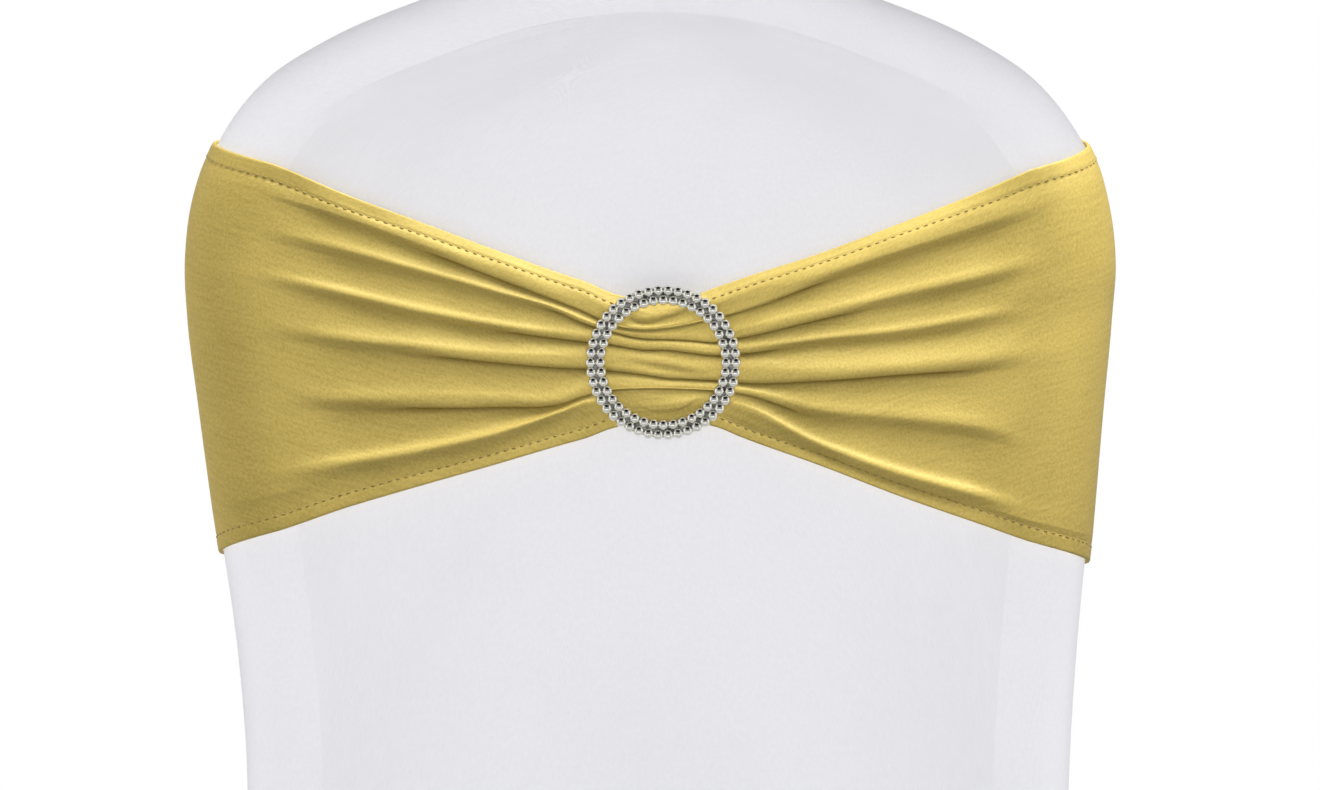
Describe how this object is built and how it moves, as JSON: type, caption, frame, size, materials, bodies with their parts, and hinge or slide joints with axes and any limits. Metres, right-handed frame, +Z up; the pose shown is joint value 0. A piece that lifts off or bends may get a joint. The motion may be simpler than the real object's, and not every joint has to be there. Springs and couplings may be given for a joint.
{
  "type": "chair cover with sash",
  "caption": "Hollow stretch cover for a banquet chair: domed back, flat seat and skirt with arched hems, with a satin band gathered behind the back through a ring buckle.",
  "frame": {"origin": "on the floor, under the middle of the cover", "axes": "+X to the right seen from behind the chair, +Y from the back towards the front of the seat, +Z up"},
  "size_m": [0.41, 0.4926, 0.923],
  "materials": {
    "white_knit": "matte white stretch knit",
    "gold_satin": "soft sheen gold stretch satin",
    "silver_stones": "bright faceted stones on silver"
  },
  "bodies": {
    "root": {"rear_panel": "white_knit", "front_panel": "white_knit", "side_panel_left": "white_knit", "side_panel_right": "white_knit", "sash": "gold_satin", "buckle_ring": "silver_stones"}
  },
  "joints": []
}
